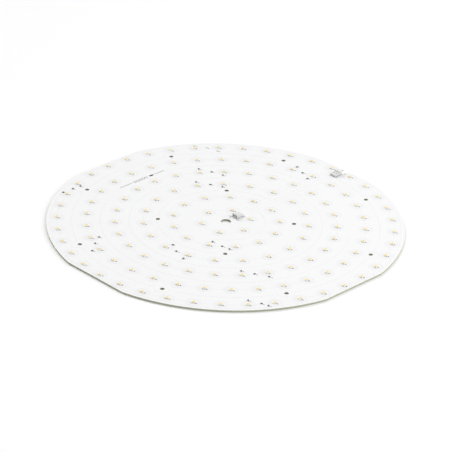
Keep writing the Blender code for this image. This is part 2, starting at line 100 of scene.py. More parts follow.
def masked_laminate():
    """White epoxy solder mask, screen-coated and baked: satin, faintly rippled, a very even white.
    The cut edge is bare glass-epoxy, matt olive, and its glass yarn shows as short pale streaks."""
    finish, tree, shader = new_finish("white_solder_mask_on_glass_epoxy")
    place = add_node(tree, "ShaderNodeTexCoord").outputs["Object"]
    mottle = add_node(tree, "ShaderNodeTexNoise", {"Vector": place, "Scale": 1 / MASK_MOTTLE})
    mask = add_node(tree, "ShaderNodeMixRGB", {
        "Fac": mottle.outputs["Fac"],
        "Color1": linear(MASK_WHITE), "Color2": linear(MASK_SHADE)})
    grain = (1 / GLASS_YARN, 1 / GLASS_YARN, 1 / PLY_THICKNESS)
    plies = add_node(tree, "ShaderNodeMapping", {"Vector": place, "Scale": grain})
    yarn = add_node(tree, "ShaderNodeTexNoise", {
        "Vector": plies.outputs["Vector"], "Scale": 1.0, "Detail": FINE_DETAIL})
    laminate = add_node(tree, "ShaderNodeMixRGB", {
        "Fac": yarn.outputs["Fac"],
        "Color1": linear(LAMINATE_OLIVE), "Color2": linear(LAMINATE_PALE)})
    flat_place = add_node(
        tree, "ShaderNodeVectorMath", {0: place, 1: (1, 1, 0)}, operation="MULTIPLY")
    reach = add_node(
        tree, "ShaderNodeVectorMath", {0: flat_place.outputs["Vector"]}, operation="LENGTH")
    # Painted shade: inside the holes the laminate is multiplied darker, and darker still in the
    # wire notch, for the shade that falls there.
    drilled = add_node(
        tree, "ShaderNodeMath", {0: reach.outputs["Value"], 1: CUT_INSIDE}, operation="LESS_THAN")
    notched = add_node(
        tree, "ShaderNodeMath", {0: reach.outputs["Value"], 1: NOTCH_FROM},
        operation="GREATER_THAN")
    shade = add_node(tree, "ShaderNodeMixRGB", {
        "Fac": notched.outputs["Value"],
        "Color1": linear(HOLE_PAINTED_SHADE), "Color2": linear(NOTCH_PAINTED_SHADE)})
    laminate_with_painted_shade = add_node(tree, "ShaderNodeMixRGB", {
        "Fac": drilled.outputs["Value"],
        "Color1": laminate.outputs["Color"], "Color2": shade.outputs["Color"]},
        blend_type="MULTIPLY")
    facing = add_node(tree, "ShaderNodeNewGeometry").outputs["Normal"]
    upright = add_node(tree, "ShaderNodeSeparateXYZ", {"Vector": facing})
    level = add_node(tree, "ShaderNodeMath", {0: upright.outputs["Z"]}, operation="ABSOLUTE")
    masked = add_node(
        tree, "ShaderNodeMath", {0: level.outputs["Value"], 1: LEVEL_FACE},
        operation="GREATER_THAN")
    colour = add_node(tree, "ShaderNodeMixRGB", {
        "Fac": masked.outputs["Value"],
        "Color1": laminate_with_painted_shade.outputs["Color"], "Color2": mask.outputs["Color"]})
    rough = add_node(tree, "ShaderNodeMapRange", {
        "Value": masked.outputs["Value"], "To Min": LAMINATE_ROUGHNESS, "To Max": MASK_ROUGHNESS})
    ripple = add_node(tree, "ShaderNodeTexNoise", {"Vector": place, "Scale": 1 / MASK_RIPPLE})
    relief = add_node(tree, "ShaderNodeBump", {
        "Height": ripple.outputs["Fac"], "Distance": MASK_RIPPLE_DEPTH})
    tree.links.new(colour.outputs["Color"], shader.inputs["Base Color"])
    tree.links.new(rough.outputs["Result"], shader.inputs["Roughness"])
    tree.links.new(relief.outputs["Normal"], shader.inputs["Normal"])
    return finish


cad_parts["circuit_board"].material_slots[0].material = masked_laminate()

# Copper under the mask. It is etched from 35 micron foil, and the mask follows it, so it shows only
# as a faint relief: a round pad under each LED, the feed lines that run out along +X, and the gaps
# between the poured areas, which bow out round the screw holes.
LEDS_IN_RING = (6, 13, 19, 27, 34, 41)
RINGS = range(1, len(LEDS_IN_RING) + 1)
FIRST_RING_RADIUS = 21 * MM
RING_PITCH = 24 * MM
PAD_DIAMETER = 12.9 * MM
PAD_FACETS = 36
PAD_HEIGHT = 0.02 * MM
PAD_REACH = FLAT_DISTANCE - 0.3 * MM
LINE_WIDTH = 0.6 * MM
LINE_HEIGHT = 0.03 * MM
FEED_HEIGHT = 0.036 * MM
LINE_SLOPE = 0.05 * MM
LINE_STEP = 0.8 * MM
SINK = 0.01 * MM
SCREW_CIRCLES = ((1.5, 4), (4.5, 8))
KEEP_OUT_RADIUS = 6.5 * MM
BOARD_RADIUS = 150 * MM
RIM_LINE_INSET = 3.2 * MM
RIM_LINE_SPAN = (1, 359)
POUR_GAPS = ((0.5, -2, -153), (1.5, 2, 217), (2.5, -1.5, -312), (3.5, 2, 303), (4.5, -2, -335))
FEED_LINES = (
    ((23, 2.1), (128, 2.1)), ((23, -1.5), (128, -1.5)),
    ((24, 6.3), (104, 9.5)), ((24, -5.2), (104, -8.2)))
COPPER_SHADE = "#E6E6E6"
COPPER_PALE = "#E7E7E8"
GAP_SHADE = "#E4E4E5"
GAP_PALE = "#E5E5E5"
RELIEF_ROUGHNESS = 0.45


def stacked(name, stacks, finish, replaced=()):
    """Makes a piece of closed bodies. stacks[i][b, r, c] is point c of loop r of body b: loops that
    are neighbours are joined by quads, and the first and last loop of a body are filled flat."""
    points, corners, sizes, start = [], [], [], 0
    for loops in stacks:
        bodies, rows, columns, _ = loops.shape
        index = start + np.arange(bodies * rows * columns).reshape(bodies, rows, columns)
        ahead = np.roll(index, -1, axis=2)
        quads = np.stack([index[:, :-1], ahead[:, :-1], ahead[:, 1:], index[:, 1:]], axis=-1)
        caps = np.concatenate([index[:, 0, ::-1], index[:, -1]])
        points.append(loops.reshape(-1, 3))
        corners += [quads.ravel(), caps.ravel()]
        sizes += [np.full(quads.size // 4, 4), np.full(len(caps), columns)]
        start += index.size
    points, corners, sizes = (np.concatenate(parts) for parts in (points, corners, sizes))
    mesh = bpy.data.meshes.new(name)
    mesh.vertices.add(len(points))
    mesh.vertices.foreach_set("co", points.ravel())
    mesh.loops.add(corners.size)
    mesh.loops.foreach_set("vertex_index", corners)
    mesh.polygons.add(sizes.size)
    mesh.polygons.foreach_set("loop_start", np.cumsum(sizes) - sizes)
    mesh.update(calc_edges=True)
    mesh.shade_flat()
    mesh.materials.append(finish)
    piece = bpy.data.objects.new(name, mesh)
    bpy.context.scene.collection.objects.link(piece)
    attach(piece, "root")
    if replaced:
        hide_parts(*replaced)
    return piece


def ring_places(number):
    """The LED places of a ring: its radius, and the angles 2 pi (i + 0.5) / n from +X."""
    count = LEDS_IN_RING[number - 1]
    angles = 2 * math.pi * (np.arange(count) + 0.5) / count
    return FIRST_RING_RADIUS + (number - 1) * RING_PITCH, angles


def led_spots(number):
    """Where a ring's LEDs lie: at (r cos a, r sin a) for each angle a, turned by a + pi / 2."""
    radius, angles = ring_places(number)
    return radius * np.cos(angles), radius * np.sin(angles), angles + math.pi / 2


def set_down(loops, x, y, turn):
    """Copies of a stack of loops, each turned by turn about Z and moved to (x, y) on the board."""
    spots = np.broadcast_arrays(*np.atleast_1d(x, y, turn))
    x, y, turn = (values[:, None, None] for values in spots)
    along, across, up = np.moveaxis(loops, -1, 0)
    return np.stack([
        x + along * np.cos(turn) - across * np.sin(turn),
        y + along * np.sin(turn) + across * np.cos(turn),
        BOARD_TOP + up + 0 * turn], axis=-1)


def etched_line(path, width, height):
    """A line of copper: a low trapezium, width at its foot, carried along the path's points."""
    run = np.gradient(path, axis=0)
    side = np.stack([-run[:, 1], run[:, 0]], axis=1) / np.linalg.norm(run, axis=1)[:, None]
    across = np.array([-width / 2, width / 2, width / 2 - LINE_SLOPE, LINE_SLOPE - width / 2])
    flat = path[:, None] + side[:, None] * across[None, :, None]
    up = np.broadcast_to(np.array([-SINK, -SINK, height, height]), flat.shape[:2])
    return np.concatenate([flat, BOARD_TOP + up[..., None]], axis=-1)[None]


def arc(radius, start, end):
    """Points on a circle about the board's centre, a line step apart between two angles in degrees,
    and the angle of each."""
    steps = max(2, round(abs(math.radians(end - start)) * radius / LINE_STEP))
    angles = np.radians(np.linspace(start, end, steps + 1))
    return np.stack([radius * np.cos(angles), radius * np.sin(angles)], axis=1), angles


def pour_gap(share, start, end):
    """A gap between two poured areas, midway between rings. Where it meets a screw hole's keep-out
    of radius k it goes round outside, at r cos(d) + sqrt(k^2 - r^2 sin^2(d)) for d off the hole."""
    radius = FIRST_RING_RADIUS + share * RING_PITCH
    path, angles = arc(radius, start, end)
    for circle, count in SCREW_CIRCLES:
        if circle == share:
            pitch = 2 * math.pi / count
            off = (angles % pitch) - pitch / 2
            room = np.clip(KEEP_OUT_RADIUS ** 2 - (radius * np.sin(off)) ** 2, 0, None)
            bowed = np.where(room > 0, radius * np.cos(off) + np.sqrt(room), radius)
            path *= (bowed / radius)[:, None]
    return path


def rim_line():
    """The edge of the outer pour, an inset inside the board's outline: the smaller of the disc's
    radius and flat distance / cos(angle from the nearest flat)."""
    _, angles = arc(BOARD_RADIUS, *RIM_LINE_SPAN)
    off = (angles + math.pi / 4) % (math.pi / 2) - math.pi / 4
    flat_radius = (FLAT_DISTANCE - RIM_LINE_INSET) / np.cos(off)
    radius = np.minimum(BOARD_RADIUS - RIM_LINE_INSET, flat_radius)
    return np.stack([radius * np.cos(angles), radius * np.sin(angles)], axis=1)


def mask_over(name, shade, pale):
    """The same white mask where it shows what lies under it: a shade greyer, and as satin."""
    finish, tree, shader = new_finish(name)
    place = add_node(tree, "ShaderNodeTexCoord").outputs["Object"]
    mottle = add_node(tree, "ShaderNodeTexNoise", {"Vector": place, "Scale": 1 / MASK_MOTTLE})
    colour = add_node(tree, "ShaderNodeMixRGB", {
        "Fac": mottle.outputs["Fac"], "Color1": linear(shade), "Color2": linear(pale)})
    tree.links.new(colour.outputs["Color"], shader.inputs["Base Color"])
    shader.inputs["Roughness"].default_value = RELIEF_ROUGHNESS
    return finish


COPPER_FINISH = mask_over("white_solder_mask_on_copper", COPPER_SHADE, COPPER_PALE)
GAP_FINISH = mask_over("white_solder_mask_on_bare_glass", GAP_SHADE, GAP_PALE)
around = 2 * math.pi * np.arange(PAD_FACETS) / PAD_FACETS
pad_radii = np.array([PAD_DIAMETER / 2, PAD_DIAMETER / 2 - LINE_SLOPE])[:, None]
pad_heights = np.broadcast_to(np.array([-SINK, PAD_HEIGHT])[:, None], (2, PAD_FACETS))
pad = np.stack([pad_radii * np.cos(around), pad_radii * np.sin(around), pad_heights], axis=-1)
pads = [set_down(pad, *led_spots(number)) for number in RINGS]
for ring_pads in pads:
    ring_pads[..., :2] = np.clip(ring_pads[..., :2], -PAD_REACH, PAD_REACH)
stacked("led_copper_pads", pads, COPPER_FINISH)

lines = [etched_line(pour_gap(*gap), LINE_WIDTH, LINE_HEIGHT) for gap in POUR_GAPS]
lines.append(etched_line(rim_line(), LINE_WIDTH, LINE_HEIGHT))
lines += [etched_line(np.array(ends) * MM, LINE_WIDTH, FEED_HEIGHT) for ends in FEED_LINES]
stacked("pour_gaps_and_feed_lines", lines, GAP_FINISH)

# LEDs and the printed track of each ring. A package is white plastic moulded round two tinned
# leads, with a cup of yellow phosphor in silicone on top and one corner cut as the cathode mark. It
# lies along its ring, reflow-soldered at both ends to the track, which stays open at +X.
TRACK_WIDTH = 0.55 * MM
PACKAGE_LENGTH = 3.5 * MM
PACKAGE_WIDTH = 2.8 * MM
PACKAGE_CORNER = 0.12 * MM
CATHODE_CORNER = 0.5 * MM
FILL_CORNER = 0.36 * MM
PACKAGE_PROFILE = ((0, -0.01), (0, 0.5), (0.06, 0.75), (0.46, 0.75), (0.58, 0.62))
FILL_PROFILE = ((0.57, 0.61), (0.475, 0.72), (0.7, 0.705), (0.9, 0.7))
CORNER_SIDES = np.array([(1, -1), (1, -1), (1, 1), (1, 1), (-1, 1), (-1, 1), (-1, -1), (-1, -1)]).T
CORNER_PULLS = np.array([(1, 0), (0, 1), (0, 1), (1, 0), (1, 0), (0, 1), (0, 1), (1, 0)]).T
SOLDER_LENGTH = 0.35 * MM
SOLDER_WIDTH = 1.9 * MM
SOLDER_RISE = 0.3 * MM
SOLDER_FOOT = 0.05 * MM
SOLDER_TAPER = 0.1
SOLDER_ROWS = 5
HOUSING_WHITE = "#F2F2EE"
HOUSING_SHADE = "#E8E8E3"
HOUSING_SMOOTH, HOUSING_ROUGH = 0.42, 0.55
HOUSING_FLOW = 1.6 * MM
PHOSPHOR_YELLOW = "#F2D158"
PHOSPHOR_PALE = "#F5DB76"
PHOSPHOR_ROUGHNESS = 0.28
PHOSPHOR_GRAIN = 0.6 * MM
SILICONE_IOR = 1.41
SOLDER_GREY = "#D2D2D3"
SOLDER_BRIGHT = "#E0E0E1"
SOLDER_ROUGH, SOLDER_SMOOTH = 0.65, 0.45
SOLDER_GRAIN = 0.5 * MM


def cut_rectangle(length, width, cuts, profile):
    """Loops round a rectangle whose four corners are cut, from +X -Y on. Each of its eight points
    is a sign times half the side, less the row's inset, less the corner's cut on one of the two
    sides. profile holds (inset, height) in mm."""
    inset, height = np.array(profile, float).T[:, :, None] * MM
    pulled = CORNER_PULLS * np.repeat(np.broadcast_to(cuts, 4), 2)
    along = CORNER_SIDES[0] * (length / 2 - inset - pulled[0])
    across = CORNER_SIDES[1] * (width / 2 - inset - pulled[1])
    return np.stack([along, across, height + 0 * along], axis=-1)


def solder_fillet(reach, width, rise, start):
    """Solder that runs down from a wall to its land: over s from 0 to 1 its height is
    foot + rise (1 - s)^2, and its width draws in by taper s^2. A second copy is at the far end."""
    s = np.linspace(0, 1, SOLDER_ROWS)[:, None]
    half = width / 2 * (1 - SOLDER_TAPER * s ** 2)
    across = half * np.array([-1, 1, 1, -1])
    top = SOLDER_FOOT + rise * (1 - s) ** 2
    up = np.where(np.array([True, True, False, False]), -SINK, top)
    along = start + reach * s + 0 * across
    return [np.stack([end * along, end * across, up], axis=-1) for end in (1, -1)]


def moulded_white():
    """Reflector plastic, glass-filled and injection moulded: an opaque clean white with a soft
    sheen, a little warmer and greyer where the melt flowed last."""
    finish, tree, shader = new_finish("moulded_reflector_plastic")
    place = add_node(tree, "ShaderNodeTexCoord").outputs["Object"]
    flow = add_node(tree, "ShaderNodeTexNoise", {"Vector": place, "Scale": 1 / HOUSING_FLOW})
    colour = add_node(tree, "ShaderNodeMixRGB", {
        "Fac": flow.outputs["Fac"],
        "Color1": linear(HOUSING_WHITE), "Color2": linear(HOUSING_SHADE)})
    rough = add_node(tree, "ShaderNodeMapRange", {
        "Value": flow.outputs["Fac"], "To Min": HOUSING_SMOOTH, "To Max": HOUSING_ROUGH})
    tree.links.new(colour.outputs["Color"], shader.inputs["Base Color"])
    tree.links.new(rough.outputs["Result"], shader.inputs["Roughness"])
    return finish


def phosphor_fill():
    """Yttrium phosphor powder in clear silicone, dispensed and cured: warm yellow, paler where it
    is thin, with the wet gloss of silicone."""
    finish, tree, shader = new_finish("phosphor_in_silicone")
    place = add_node(tree, "ShaderNodeTexCoord").outputs["Object"]
    grain = add_node(tree, "ShaderNodeTexNoise", {
        "Vector": place, "Scale": 1 / PHOSPHOR_GRAIN, "Detail": FINE_DETAIL})
    colour = add_node(tree, "ShaderNodeMixRGB", {
        "Fac": grain.outputs["Fac"],
        "Color1": linear(PHOSPHOR_YELLOW), "Color2": linear(PHOSPHOR_PALE)})
    tree.links.new(colour.outputs["Color"], shader.inputs["Base Color"])
    shader.inputs["Roughness"].default_value = PHOSPHOR_ROUGHNESS
    shader.inputs["IOR"].default_value = SILICONE_IOR
    return finish


def reflowed_solder(name, grey, bright):
    """Tin solder, melted and set in the oven: a soft grey metal, part bright and part frosted."""
    finish, tree, shader = new_finish(name)
    place = add_node(tree, "ShaderNodeTexCoord").outputs["Object"]
    grain = add_node(tree, "ShaderNodeTexNoise", {"Vector": place, "Scale": 1 / SOLDER_GRAIN})
    colour = add_node(tree, "ShaderNodeMixRGB", {
        "Fac": grain.outputs["Fac"], "Color1": linear(grey), "Color2": linear(bright)})
    rough = add_node(tree, "ShaderNodeMapRange", {
        "Value": grain.outputs["Fac"], "To Min": SOLDER_ROUGH, "To Max": SOLDER_SMOOTH})
    tree.links.new(colour.outputs["Color"], shader.inputs["Base Color"])
    tree.links.new(rough.outputs["Result"], shader.inputs["Roughness"])
    shader.inputs["Metallic"].default_value = 1.0
    return finish


HOUSING_FINISH, FILL_FINISH = moulded_white(), phosphor_fill()
SOLDER_FINISH = reflowed_solder("reflowed_tin_solder", SOLDER_GREY, SOLDER_BRIGHT)
corner_cuts = (PACKAGE_CORNER, PACKAGE_CORNER, CATHODE_CORNER, PACKAGE_CORNER)
package = cut_rectangle(PACKAGE_LENGTH, PACKAGE_WIDTH, corner_cuts, PACKAGE_PROFILE)
window = cut_rectangle(PACKAGE_LENGTH, PACKAGE_WIDTH, FILL_CORNER, FILL_PROFILE)
joints = solder_fillet(
    SOLDER_LENGTH, SOLDER_WIDTH, SOLDER_RISE, PACKAGE_LENGTH / 2 - SOLDER_FOOT)
for number in RINGS:
    node = f"led_ring_{number}"
    spots = led_spots(number)
    radius, angles = ring_places(number)
    path, _ = arc(radius, math.degrees(angles[0]), math.degrees(angles[-1]))
    track = etched_line(path, TRACK_WIDTH, LINE_HEIGHT)
    ends = [set_down(joint, *spots) for joint in joints]
    stacked(f"{node}_track", [track], COPPER_FINISH, [node])
    stacked(f"{node}_packages", [set_down(package, *spots)], HOUSING_FINISH, [node])
    stacked(f"{node}_phosphor", [set_down(window, *spots)], FILL_FINISH, [node])
    stacked(f"{node}_solder", ends, SOLDER_FINISH, [node])

# Chip resistors. Each is a thick-film chip: a small ceramic block under a black glass coat, with
# tinned wrap-round ends, soldered to two lands. Groups of three sit inside, on and outside a ring.
# One group of the outer ring holds three plain links, whose ceramic has no coat.
CHIP_LENGTH = 2.0 * MM
CHIP_WIDTH = 1.25 * MM
CHIP_HEIGHT = 0.5 * MM
CHIP_EDGE = 0.06 * MM
CHIP_END = 0.35 * MM
CHIP_END_RISE = 0.03 * MM
CHIP_SOLDER_LENGTH = 0.4 * MM
CHIP_SOLDER_RISE = 0.25 * MM
SAME_POINT_DIGITS = 7
COAT_BLACK = "#1F1D1B"
COAT_SHEEN = "#312F2C"
COAT_ROUGHNESS = 0.45
COAT_GRAIN = 0.7 * MM
LINKS = ("chip_resistor_22", "chip_resistor_23", "chip_resistor_24")
ALUMINA_WHITE = "#DADAD7"
ALUMINA_SHADE = "#CFCFCB"
ALUMINA_ROUGHNESS = 0.6
ALUMINA_GRAIN = 0.4 * MM
DULL_GREY = "#AEAEB0"
DULL_BRIGHT = "#C0C0C2"


def chip_bar(start, end, grown):
    """A bar along the chip from start to end: an eight-point section with cut edges, wider and
    taller than the bare block by grown, whose two end loops draw in by one edge's cut."""
    along = np.array([start, start + CHIP_EDGE, end - CHIP_EDGE, end])
    inset = CHIP_EDGE * np.array([1, 0, 0, 1]) - grown
    half = (CHIP_WIDTH / 2 - inset)[:, None]
    low, high = inset[:, None] - SINK, (CHIP_HEIGHT - CHIP_END_RISE - inset)[:, None]
    cut = CHIP_EDGE * CORNER_PULLS
    across = CORNER_SIDES[0] * (half - cut[0])
    up = np.where(CORNER_SIDES[1] > 0, high - cut[1], low + cut[1])
    return np.stack([along[:, None] + 0 * across, across, up], axis=-1)


def black_coat():
    """Black glass overglaze, printed and fired on the ceramic: nearly black, half glossy and a
    little uneven."""
    finish, tree, shader = new_finish("fired_black_overglaze")
    place = add_node(tree, "ShaderNodeTexCoord").outputs["Object"]
    grain = add_node(tree, "ShaderNodeTexNoise", {"Vector": place, "Scale": 1 / COAT_GRAIN})
    colour = add_node(tree, "ShaderNodeMixRGB", {
        "Fac": grain.outputs["Fac"],
        "Color1": linear(COAT_BLACK), "Color2": linear(COAT_SHEEN)})
    tree.links.new(colour.outputs["Color"], shader.inputs["Base Color"])
    shader.inputs["Roughness"].default_value = COAT_ROUGHNESS
    return finish


def bare_alumina():
    """Alumina ceramic, pressed and fired with no coat on it: off-white, matt and finely grained."""
    finish, tree, shader = new_finish("fired_white_alumina")
    place = add_node(tree, "ShaderNodeTexCoord").outputs["Object"]
    grain = add_node(tree, "ShaderNodeTexNoise", {
        "Vector": place, "Scale": 1 / ALUMINA_GRAIN, "Detail": FINE_DETAIL})
    colour = add_node(tree, "ShaderNodeMixRGB", {
        "Fac": grain.outputs["Fac"],
        "Color1": linear(ALUMINA_WHITE), "Color2": linear(ALUMINA_SHADE)})
    tree.links.new(colour.outputs["Color"], shader.inputs["Base Color"])
    shader.inputs["Roughness"].default_value = ALUMINA_ROUGHNESS
    return finish


def lie_of(node):
    """Where a chip lies: the middle of its corners, and the turn of the way they spread most in."""
    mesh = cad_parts[node].data
    corners = np.empty(3 * len(mesh.vertices))
    mesh.vertices.foreach_get("co", corners)
    flat = np.unique(corners.reshape(-1, 3).round(SAME_POINT_DIGITS), axis=0)[:, :2]
    middle = flat.mean(axis=0)
    spread = np.linalg.eigh(np.cov((flat - middle).T))[1][:, -1]
    return middle[0], middle[1], math.atan2(spread[1], spread[0])


COAT_FINISH, BARE_FINISH = black_coat(), bare_alumina()
DULL_FINISH = reflowed_solder("dull_tin_solder", DULL_GREY, DULL_BRIGHT)
tip, shoulder = CHIP_LENGTH / 2, CHIP_LENGTH / 2 - CHIP_END
chip_body = chip_bar(-shoulder - CHIP_EDGE, shoulder + CHIP_EDGE, 0)
chip_ends = [chip_bar(-tip, -shoulder, CHIP_END_RISE), chip_bar(shoulder, tip, CHIP_END_RISE)]
chip_ends += solder_fillet(CHIP_SOLDER_LENGTH, CHIP_WIDTH, CHIP_SOLDER_RISE, tip - SOLDER_FOOT)
chip_nodes = sorted(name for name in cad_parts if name.startswith("chip_resistor"))
chip_spots = [lie_of(node) for node in chip_nodes]
for node, spot in zip(chip_nodes, chip_spots):
    body_finish = BARE_FINISH if node in LINKS else COAT_FINISH
    end_finish = SOLDER_FINISH if node in LINKS else DULL_FINISH
    ends = [set_down(end, *spot) for end in chip_ends]
    stacked(f"{node}_body", [set_down(chip_body, *spot)], body_finish, [node])
    stacked(f"{node}_ends", ends, end_finish, [node])

# Printed signs, screened on the mask in black epoxy ink and baked. A diode sign stands beside each
# LED and a resistor sign beside each chip, all along -Y and just clear of the solder. Between two
# rings runs a row of empty boxes and one solid block, where a tester ticks the LEDs' tint.
INK_HEIGHT = 0.04 * MM
INK_BLACK = "#1A1A1B"
INK_WORN = "#303031"
INK_ROUGHNESS = 0.7
INK_GRAIN = 0.3 * MM
SIGN_LENGTH = 1.2 * MM
SIGN_WIDTH = 1.2 * MM
SIGN_TURN = -math.pi / 2
SIGN_SAMPLES = 5
NEAR_ZERO = 1e-6
LED_SIGN_GAP = 0.05 * MM
LED_SIGN_SETOVER = 0.3 * MM
CHIP_SIGN_GAP = 0.4 * MM
CHIP_SIGN_SETOVER = 0.65 * MM
DIODE_SIGN = (
    ((-0.6, -0.1), (-0.5, -0.1), (-0.5, 0.1), (-0.6, 0.1)),
    ((-0.5, -0.6), (0.15, 0), (-0.5, 0.6)),
    ((0.15, -0.6), (0.5, -0.6), (0.5, 0.6), (0.15, 0.6)),
    ((0.5, -0.1), (0.6, -0.1), (0.6, 0.1), (0.5, 0.1)))
RESISTOR_SIGN = (
    ((-0.6, -0.1), (-0.45, -0.1), (-0.45, 0.1), (-0.6, 0.1)),
    ((-0.45, -0.36), (0.45, -0.36), (0.45, -0.16), (-0.45, -0.16)),
    ((-0.45, 0.16), (0.45, 0.16), (0.45, 0.36), (-0.45, 0.36)),
    ((-0.45, -0.16), (-0.25, -0.16), (-0.25, 0.16), (-0.45, 0.16)),
    ((0.25, -0.16), (0.45, -0.16), (0.45, 0.16), (0.25, 0.16)),
    ((0.45, -0.1), (0.6, -0.1), (0.6, 0.1), (0.45, 0.1)))
TICK_ROW_Y = 103.4 * MM
TICK_BOXES = (
    (1.2, 0.95, (-8.6, -5.3, -2.0, 1.3, 4.6)),
    (0.7, 0.54, (-24.2, -22.0, -19.8, -17.6, -15.4, -13.2, 16.0, 18.2, 20.4, 22.6, 24.8)))
TICK_BLOCK = (((-2.2, -0.95), (2.2, -0.95), (2.2, 0.95), (-2.2, 0.95)),)
TICK_BLOCK_X = 10.9 * MM


def inked(outlines, x, y, turn):
    """Ink films of the same outlines, given in mm, at many spots. A film is its outline at a foot
    sunk in the mask, and again at the ink's height."""
    films = []
    for outline in outlines:
        flat = np.broadcast_to(np.array(outline) * MM, (2, len(outline), 2))
        up = np.broadcast_to(np.array([-SINK, INK_HEIGHT])[:, None, None], (2, len(outline), 1))
        films.append(set_down(np.concatenate([flat, up], axis=-1), x, y, turn))
    return films


def bars_of(half, inner):
    """The four bars of a square frame, from its half side to its inner half side, in mm."""
    return (((-half, -half), (half, -half), (half, -inner), (-half, -inner)),
            ((-half, inner), (half, inner), (half, half), (-half, half)),
            ((-half, -inner), (-inner, -inner), (-inner, inner), (-half, inner)),
            ((inner, -inner), (half, -inner), (half, inner), (inner, inner)))


def printed(name, outlines, spots, footprints, gap, setover):
    """One sign of ink films beside each part, set over along X. At x beside its middle, an L by W
    rectangle turned by t ends below it at the lesser of (L/2 +- x cos t) / |sin t| and
    (W/2 -+ x sin t) / |cos t|. The sign starts a gap below the furthest such end in its width."""
    x, y, turn = spots
    beside = setover + SIGN_WIDTH * np.linspace(-0.5, 0.5, SIGN_SAMPLES)[:, None]
    sine, cosine = np.sin(turn), np.cos(turn)
    reach = np.zeros(len(x))
    for length, width in footprints:
        ends = length / 2 + np.sign(sine) * beside * cosine
        sides = width / 2 - np.sign(cosine) * beside * sine
        below = np.minimum(ends / np.maximum(np.abs(sine), NEAR_ZERO),
                           sides / np.maximum(np.abs(cosine), NEAR_ZERO))
        reach = np.maximum(reach, below.max(axis=0))
    films = inked(outlines, x + setover, y - reach - gap - SIGN_LENGTH / 2, SIGN_TURN)
    stacked(name, films, INK_FINISH)


def screen_ink():
    """Epoxy legend ink, pressed through a screen and baked: matt black, greyer where it is thin."""
    finish, tree, shader = new_finish("screen_printed_epoxy_ink")
    place = add_node(tree, "ShaderNodeTexCoord").outputs["Object"]
    grain = add_node(tree, "ShaderNodeTexNoise", {"Vector": place, "Scale": 1 / INK_GRAIN})
    colour = add_node(tree, "ShaderNodeMixRGB", {
        "Fac": grain.outputs["Fac"], "Color1": linear(INK_BLACK), "Color2": linear(INK_WORN)})
    tree.links.new(colour.outputs["Color"], shader.inputs["Base Color"])
    shader.inputs["Roughness"].default_value = INK_ROUGHNESS
    return finish


INK_FINISH = screen_ink()
all_leds = np.concatenate([led_spots(number) for number in RINGS], axis=1)
all_chips = np.array(chip_spots).T
led_footprints = (
    (PACKAGE_LENGTH, PACKAGE_WIDTH), (PACKAGE_LENGTH + 2 * SOLDER_LENGTH, SOLDER_WIDTH))
chip_footprints = ((CHIP_LENGTH + 2 * CHIP_SOLDER_LENGTH, CHIP_WIDTH),)
printed("led_signs", DIODE_SIGN, all_leds, led_footprints, LED_SIGN_GAP, LED_SIGN_SETOVER)
printed("chip_signs", RESISTOR_SIGN, all_chips, chip_footprints, CHIP_SIGN_GAP, CHIP_SIGN_SETOVER)
ticks = []
for half, inner, places in TICK_BOXES:
    ticks += inked(bars_of(half, inner), np.array(places) * MM, TICK_ROW_Y, 0.0)
ticks += inked(TICK_BLOCK, TICK_BLOCK_X, TICK_ROW_Y, 0.0)
stacked("tint_tick_boxes", ticks, INK_FINISH)

# Push-in wire terminals. Two white polyamide housings, moulded with their funnels, chambers and
# release slots, snap over folded tinned-copper contacts. Each contact's tail splays to its land
# beside the entries and is soldered there. Along each side of the housing lies a thin black line
# of painted shadow, drawn in the legend ink, for the shade where the housing meets the board.
TERMINAL_ENTRY_SIDES = (("centre", -1), ("rim", 1))
TERMINAL_POLES = ("1", "2")
NYLON_WHITE = "#DBDBDA"
NYLON_SHADE = "#D3D3D2"
NYLON_ROUGHNESS = 0.55
NYLON_GRAIN = 0.25 * MM
NYLON_GRAIN_DEPTH = 0.006 * MM
TIN_PLATE = "#CACACB"
TIN_BRIGHT = "#DADADB"
TIN_ROUGH, TIN_SMOOTH = 0.48, 0.3
TIN_ROLL = 0.15 * MM
TIN_ROLL_LENGTH = 1.35 * MM
TAIL_GREY = "#C6C6C8"
TAIL_BRIGHT = "#D6D6D8"
TAIL_PAD_LENGTH = 2.2 * MM
TAIL_PAD_WIDTH = 1.8 * MM
TAIL_PAD_CORNER = 0.24 * MM
TAIL_SOLDER_PROFILE = (
    (-0.4, -0.01), (-0.38, 0.05), (-0.22, 0.09), (-0.04, 0.2), (0.25, 0.26), (0.6, 0.28))
# A thin black line of painted shadow along each side of a housing, at its foot.
SHADOW_LINE_WIDTH = 0.25 * MM
SHADOW_LINE_CORNER = SHADOW_LINE_WIDTH / 4
SHADOW_LINE_OFF = 0.1 * MM + SHADOW_LINE_WIDTH / 2
SHADOW_LINE_PROFILE = ((0, -0.01), (0, 0.04))


def moulded_nylon():
    """Polyamide, injection moulded in a spark-eroded tool: an opaque white with an even matt
    grain."""
    finish, tree, shader = new_finish("moulded_polyamide")
    place = add_node(tree, "ShaderNodeTexCoord").outputs["Object"]
    grain = add_node(tree, "ShaderNodeTexNoise", {"Vector": place, "Scale": 1 / NYLON_GRAIN})
    colour = add_node(tree, "ShaderNodeMixRGB", {
        "Fac": grain.outputs["Fac"],
        "Color1": linear(NYLON_WHITE), "Color2": linear(NYLON_SHADE)})
    relief = add_node(tree, "ShaderNodeBump", {
        "Height": grain.outputs["Fac"], "Distance": NYLON_GRAIN_DEPTH})
    tree.links.new(colour.outputs["Color"], shader.inputs["Base Color"])
    tree.links.new(relief.outputs["Normal"], shader.inputs["Normal"])
    shader.inputs["Roughness"].default_value = NYLON_ROUGHNESS
    return finish


